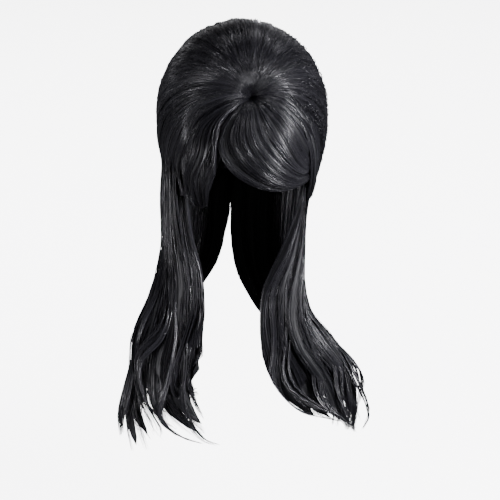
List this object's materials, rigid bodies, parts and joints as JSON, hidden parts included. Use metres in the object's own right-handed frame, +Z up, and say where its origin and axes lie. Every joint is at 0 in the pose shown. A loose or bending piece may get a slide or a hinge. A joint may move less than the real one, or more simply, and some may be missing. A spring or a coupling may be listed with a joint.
{
  "type": "beehive wig",
  "caption": "Long beehive wig with a teased crown on a stretch cap, a fringe swept to one side, temple sweeps and a long length over each shoulder.",
  "frame": {"origin": "the top of the wearer's head, inside the cap", "axes": "+Z up along the upright head, -Y towards the face, +X towards the wearer's left"},
  "size_m": [0.2888, 0.2265, 0.4942],
  "materials": {
    "hair_fibre": "smooth black synthetic hair fibre with a cool satin shine along the strands",
    "cap_net": "matt black stretch net",
    "elastic": "matt black woven elastic tape"
  },
  "bodies": {
    "root": {"cap": "cap_net", "edge_band": "elastic", "crown": "hair_fibre", "fringe": "hair_fibre", "temple_sweep_right": "hair_fibre", "temple_sweep_left": "hair_fibre", "length_right": "hair_fibre", "length_left": "hair_fibre"}
  },
  "joints": []
}
